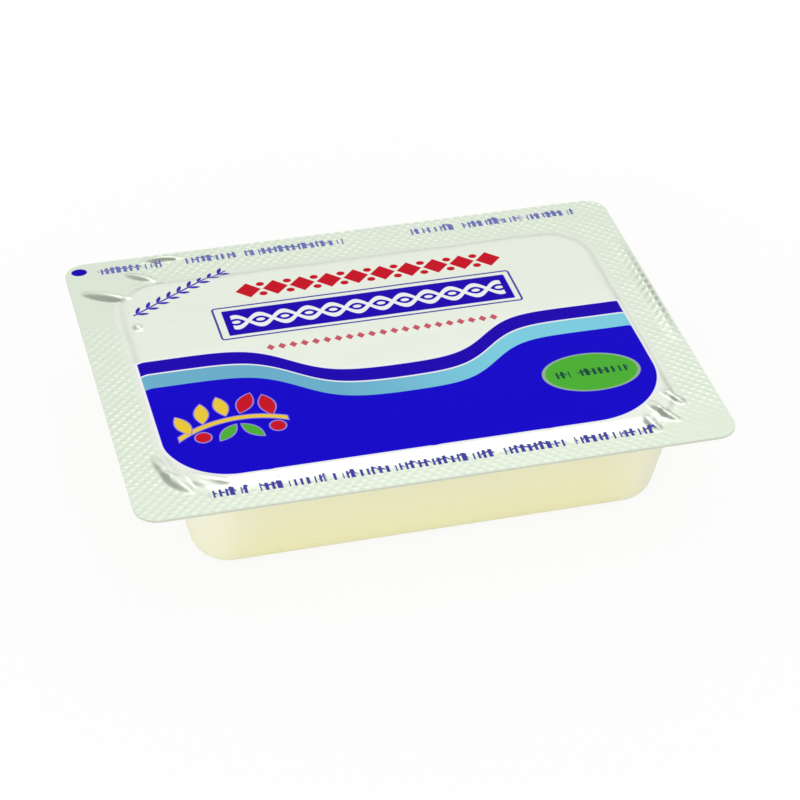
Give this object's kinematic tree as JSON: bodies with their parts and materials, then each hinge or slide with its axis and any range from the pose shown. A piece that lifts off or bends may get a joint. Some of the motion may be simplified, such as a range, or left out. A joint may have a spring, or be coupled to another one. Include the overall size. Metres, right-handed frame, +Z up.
{
  "type": "single-portion butter tub",
  "caption": "Shut single-portion butter tub: shallow drafted plastic cup with a wide seal flange and a foil lid sealed over it.",
  "frame": {"origin": "on the table, under the middle of the flange", "axes": "+X to the right along the long side, +Y from the front edge to the back, +Z up"},
  "size_m": [0.057, 0.0424, 0.0108],
  "materials": {
    "tub_plastic": "satin, cream-white, slightly see-through, with the yellow of the butter showing through",
    "lid_foil": "printed aluminium foil, knurled where it is sealed, satin bright in the middle"
  },
  "bodies": {
    "root": {"tub": "tub_plastic", "foil_lid": "lid_foil"}
  },
  "joints": []
}
